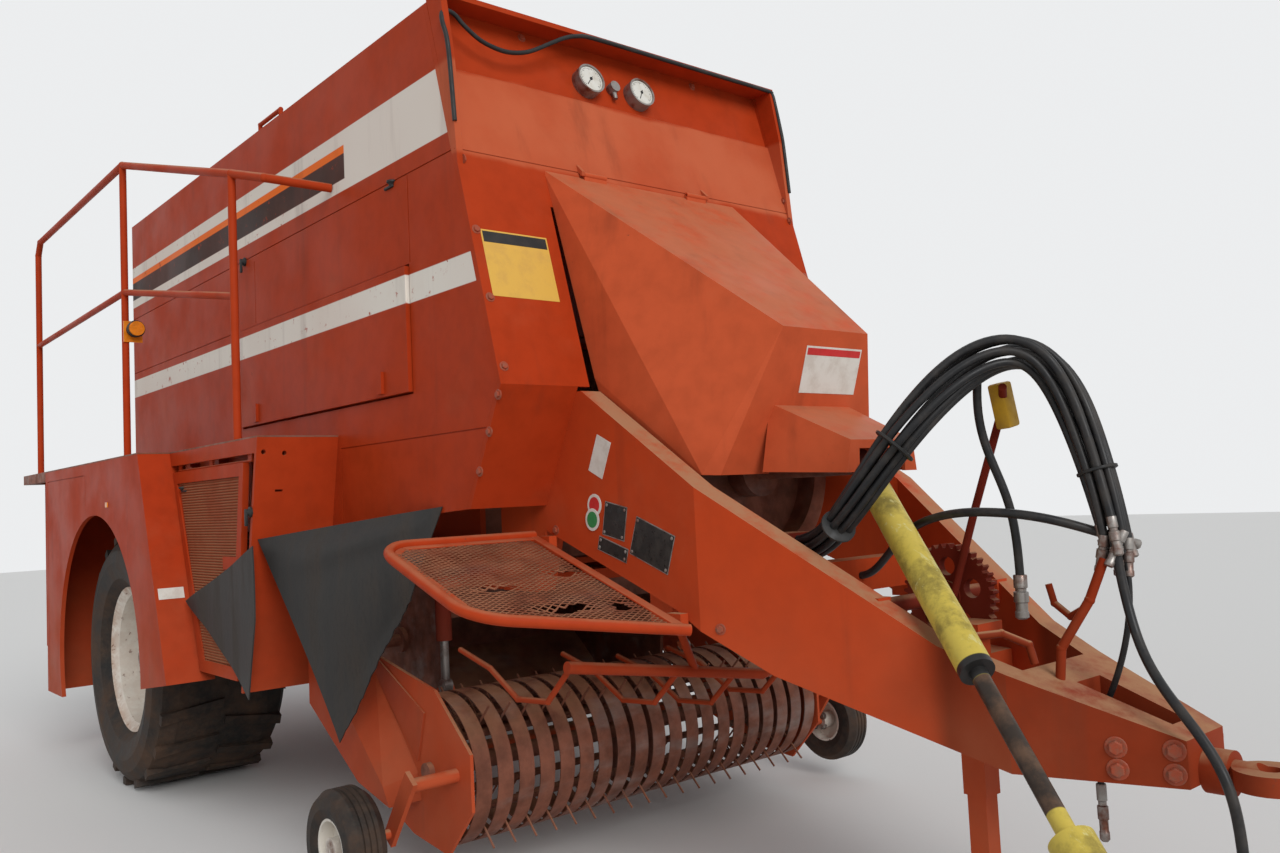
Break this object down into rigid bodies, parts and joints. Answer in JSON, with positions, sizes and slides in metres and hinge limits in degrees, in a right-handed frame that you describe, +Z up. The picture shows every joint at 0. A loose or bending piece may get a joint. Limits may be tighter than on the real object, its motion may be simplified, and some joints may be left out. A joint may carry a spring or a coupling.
{
  "type": "square baler",
  "caption": "Towed agricultural baler with enclosed body, tapering tongue with tow eye and jack, two wide tyres, tined pickup, deck with handrails and folding bale chute.",
  "frame": {"origin": "on the ground, in the middle of the length and width", "axes": "+Z up, -Y forward towards the tow eye, +X towards the left side of the machine"},
  "size_m": [2.56, 6.74, 3.091],
  "materials": {
    "paint_red": "faded satin paint with dust and rust",
    "paint_dark": "dull paint with rust",
    "rust_iron": "rusty, worn bare in places",
    "rim_white": "satin paint with dirt",
    "tyre_rubber": "matt with dust",
    "flap_rubber": "matt with dust",
    "steel": "worn, dull",
    "guard_yellow": "worn, matt",
    "lamp_amber": "gloss lens",
    "gauge_white": "satin"
  },
  "bodies": {
    "chassis": {"frame": "paint_red", "axle": "paint_dark", "hitch": "paint_red", "jack_sleeve": "paint_red", "bale_chamber": "paint_red", "density_rails": "paint_dark", "plunger": "paint_dark", "knotters": "steel", "needles": "paint_dark", "feed_duct": "paint_dark", "front_panel": "paint_red", "side_panel_right": "paint_red", "side_panel_left": "paint_red", "roof": "paint_red", "cheeks": "paint_red", "lower_shell_right": "paint_red", "lower_shell_left": "paint_red", "deck": "paint_dark", "handrails": "paint_red", "ladder": "paint_red", "guards": "paint_red", "flaps": "flap_rubber", "gearbox": "paint_dark", "hose_stand": "paint_dark", "hose_bundle": "tyre_rubber", "hose_long": "tyre_rubber", "hose_link": "tyre_rubber", "hose_slot": "tyre_rubber", "hose_hang": "tyre_rubber", "hose_ends": "steel", "lift_cylinders": "paint_dark", "lamps": "lamp_amber", "gauges": "gauge_white"},
    "wheel_right": {"rim_right": "rim_white", "tyre_right": "tyre_rubber"},
    "wheel_left": {"rim_left": "rim_white", "tyre_left": "tyre_rubber"},
    "tow_eye": {"tow_eye": "paint_red"},
    "jack_leg": {"jack_leg": "paint_dark"},
    "flywheel": {"flywheel": "paint_dark"},
    "drive_wheel": {"drive_wheel": "paint_dark"},
    "pto_shaft": {"pto_shaft": "guard_yellow"},
    "hood": {"hood": "paint_red"},
    "side_door_right": {"side_door_right": "paint_red"},
    "side_door_left": {"side_door_left": "paint_red"},
    "grille_door_right": {"grille_door_right": "paint_red", "small_flap_right": "flap_rubber"},
    "grille_door_left": {"grille_door_left": "paint_red", "small_flap_left": "flap_rubber"},
    "pickup": {"pickup_frame": "paint_red", "end_shields": "paint_red", "stripper_bands": "rust_iron"},
    "reel": {"reel": "steel"},
    "gauge_wheel_right": {"gauge_rim_right": "rim_white", "gauge_tyre_right": "tyre_rubber"},
    "gauge_wheel_left": {"gauge_rim_left": "rim_white", "gauge_tyre_left": "tyre_rubber"},
    "lift_rods": {"lift_rods": "steel"},
    "windguard": {"windguard": "paint_red"},
    "chute": {"chute": "paint_red"}
  },
  "joints": [
    {"name": "wheel_right_spin", "type": "hinge", "parent": "chassis", "child": "wheel_right", "pos_m": [-0.863, 1.446, 0.612], "axis": [1, 0, 0], "continuous": true},
    {"name": "wheel_left_spin", "type": "hinge", "parent": "chassis", "child": "wheel_left", "pos_m": [0.863, 1.446, 0.612], "axis": [1, 0, 0], "continuous": true},
    {"name": "tow_eye_swivel", "type": "hinge", "parent": "chassis", "child": "tow_eye", "pos_m": [0, -3.2, 0.591], "axis": [0, 1, 0], "continuous": true},
    {"name": "jack_slide", "type": "slide", "parent": "chassis", "child": "jack_leg", "axis": [0, 0, 1], "range_m": [0, 0.35]},
    {"name": "flywheel_spin", "type": "hinge", "parent": "chassis", "child": "flywheel", "pos_m": [0, -1.7, 1.36], "axis": [0, 1, 0], "continuous": true},
    {"name": "drive_wheel_spin", "type": "hinge", "parent": "chassis", "child": "drive_wheel", "pos_m": [0, -2.44, 0.96], "axis": [1, 0, 0], "continuous": true},
    {"name": "pto_swing", "type": "hinge", "parent": "chassis", "child": "pto_shaft", "pos_m": [0, -2.205, 1.36], "axis": [-0.8526, 0.5226, 0], "range_deg": [0, 30]},
    {"name": "hood_lift", "type": "hinge", "parent": "chassis", "child": "hood", "pos_m": [0, -1.283, 2.447], "axis": [-1, 0, 0], "range_deg": [0, 60]},
    {"name": "side_door_right_lift", "type": "hinge", "parent": "chassis", "child": "side_door_right", "pos_m": [-0.812, -0.127, 2.1373], "axis": [0, 1, 0], "range_deg": [0, 35]},
    {"name": "side_door_left_lift", "type": "hinge", "parent": "chassis", "child": "side_door_left", "pos_m": [0.812, -0.127, 2.1373], "axis": [0, -1, 0], "range_deg": [0, 35]},
    {"name": "grille_door_right_lift", "type": "hinge", "parent": "chassis", "child": "grille_door_right", "pos_m": [-1.121, 0.2, 1.4943], "axis": [0, 1, 0], "range_deg": [0, 80]},
    {"name": "grille_door_left_lift", "type": "hinge", "parent": "chassis", "child": "grille_door_left", "pos_m": [1.121, 0.2, 1.4943], "axis": [0, -1, 0], "range_deg": [0, 80]},
    {"name": "pickup_lift", "type": "hinge", "parent": "chassis", "child": "pickup", "pos_m": [0, -0.3, 0.76], "axis": [1, 0, 0], "range_deg": [-3, 5]},
    {"name": "reel_spin", "type": "hinge", "parent": "pickup", "child": "reel", "pos_m": [0, -1, 0.408], "axis": [1, 0, 0], "continuous": true},
    {"name": "gauge_wheel_right_spin", "type": "hinge", "parent": "pickup", "child": "gauge_wheel_right", "pos_m": [-1.163, -1.036, 0.251], "axis": [1, 0, 0], "continuous": true},
    {"name": "gauge_wheel_left_spin", "type": "hinge", "parent": "pickup", "child": "gauge_wheel_left", "pos_m": [1.163, -1.036, 0.251], "axis": [1, 0, 0], "continuous": true},
    {"name": "lift_rod_slide", "type": "slide", "parent": "chassis", "child": "lift_rods", "axis": [0, 0, -1], "range_m": [-0.022, 0.036]},
    {"name": "windguard_swing", "type": "hinge", "parent": "chassis", "child": "windguard", "pos_m": [0, -1.8, 0.93], "axis": [1, 0, 0], "range_deg": [0, 25]},
    {"name": "chute_fold", "type": "hinge", "parent": "chassis", "child": "chute", "pos_m": [0, 3.35, 0.986], "axis": [-1, 0, 0], "range_deg": [0, 95]}
  ],
  "couplings": [
    {"joint": "lift_rod_slide", "follows": "pickup_lift", "m_per_rad": 0.4}
  ]
}
